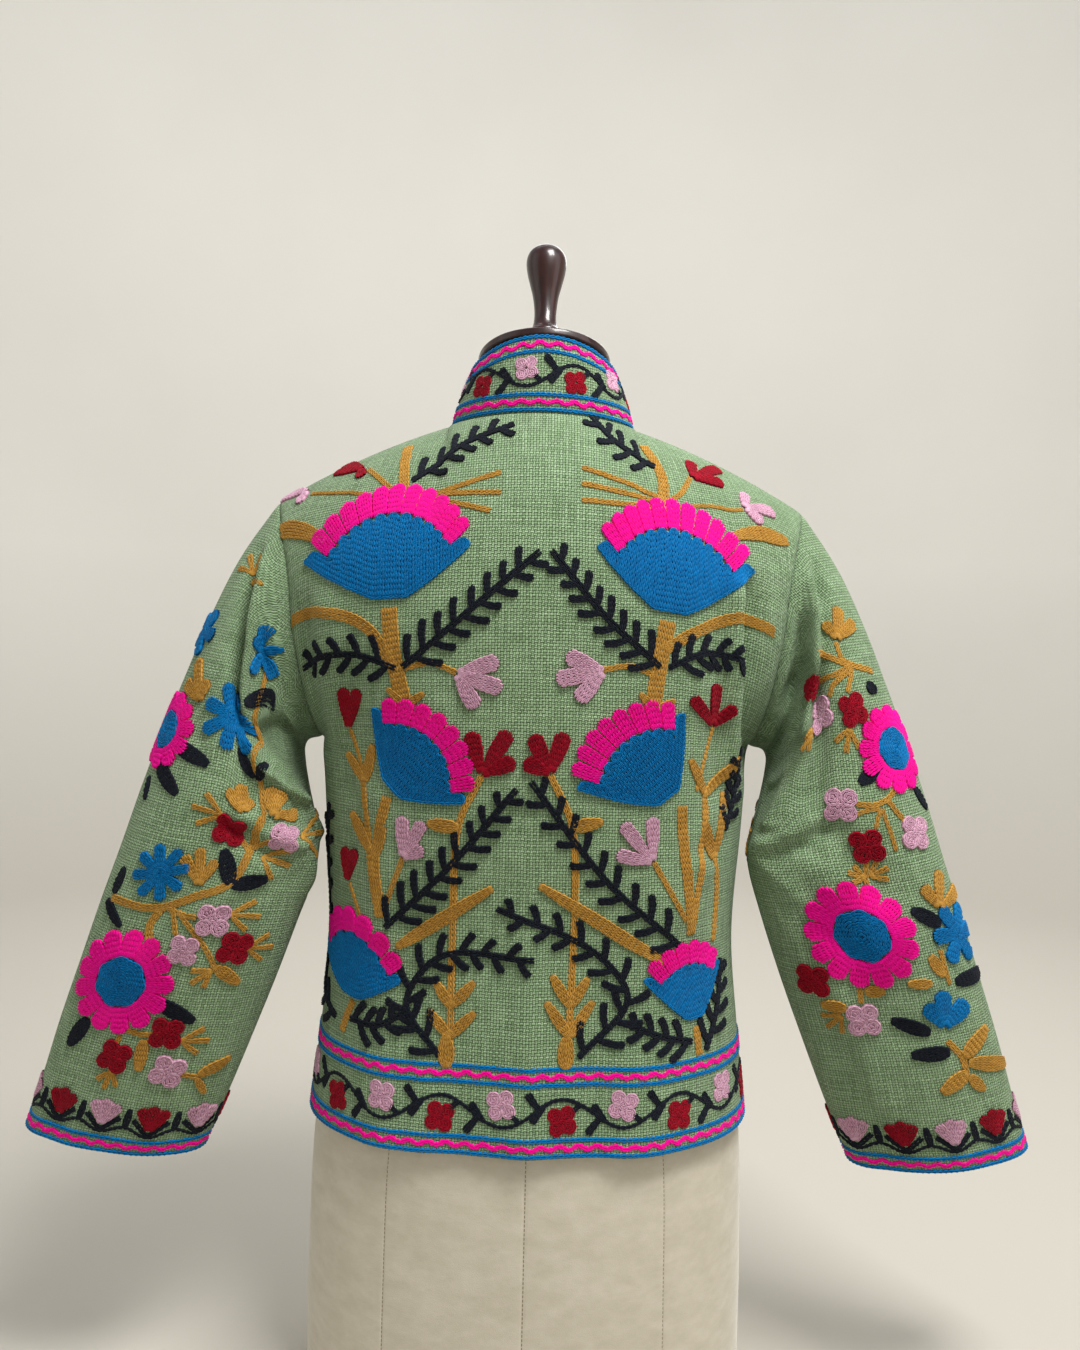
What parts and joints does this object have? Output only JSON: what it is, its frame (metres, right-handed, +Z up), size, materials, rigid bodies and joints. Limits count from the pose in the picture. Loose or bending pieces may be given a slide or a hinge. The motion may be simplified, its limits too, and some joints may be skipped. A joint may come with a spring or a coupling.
{
  "type": "embroidered jacket on a dress form",
  "caption": "Hip length jacket of coarse sage cloth with chain stitch flowers, a stand collar and long straight sleeves, worn by a limbless cream dress form.",
  "frame": {"origin": "centre of the dress form's flat underside", "axes": "+Z up, the jacket's front faces -Y, the wearer's left is +X"},
  "size_m": [0.833, 0.2609, 0.968],
  "materials": {
    "sage_cloth": "coarse basket weave, matt",
    "cream_velvet": "short pile velvet, slightly crushed",
    "dark_wood": "turned and lacquered, glossy"
  },
  "bodies": {
    "root": {"back_panel": "sage_cloth", "left_front": "sage_cloth", "right_front": "sage_cloth", "left_sleeve": "sage_cloth", "right_sleeve": "sage_cloth", "collar": "sage_cloth", "form_body": "cream_velvet", "neck_plate": "dark_wood", "neck_finial": "dark_wood"}
  },
  "joints": []
}
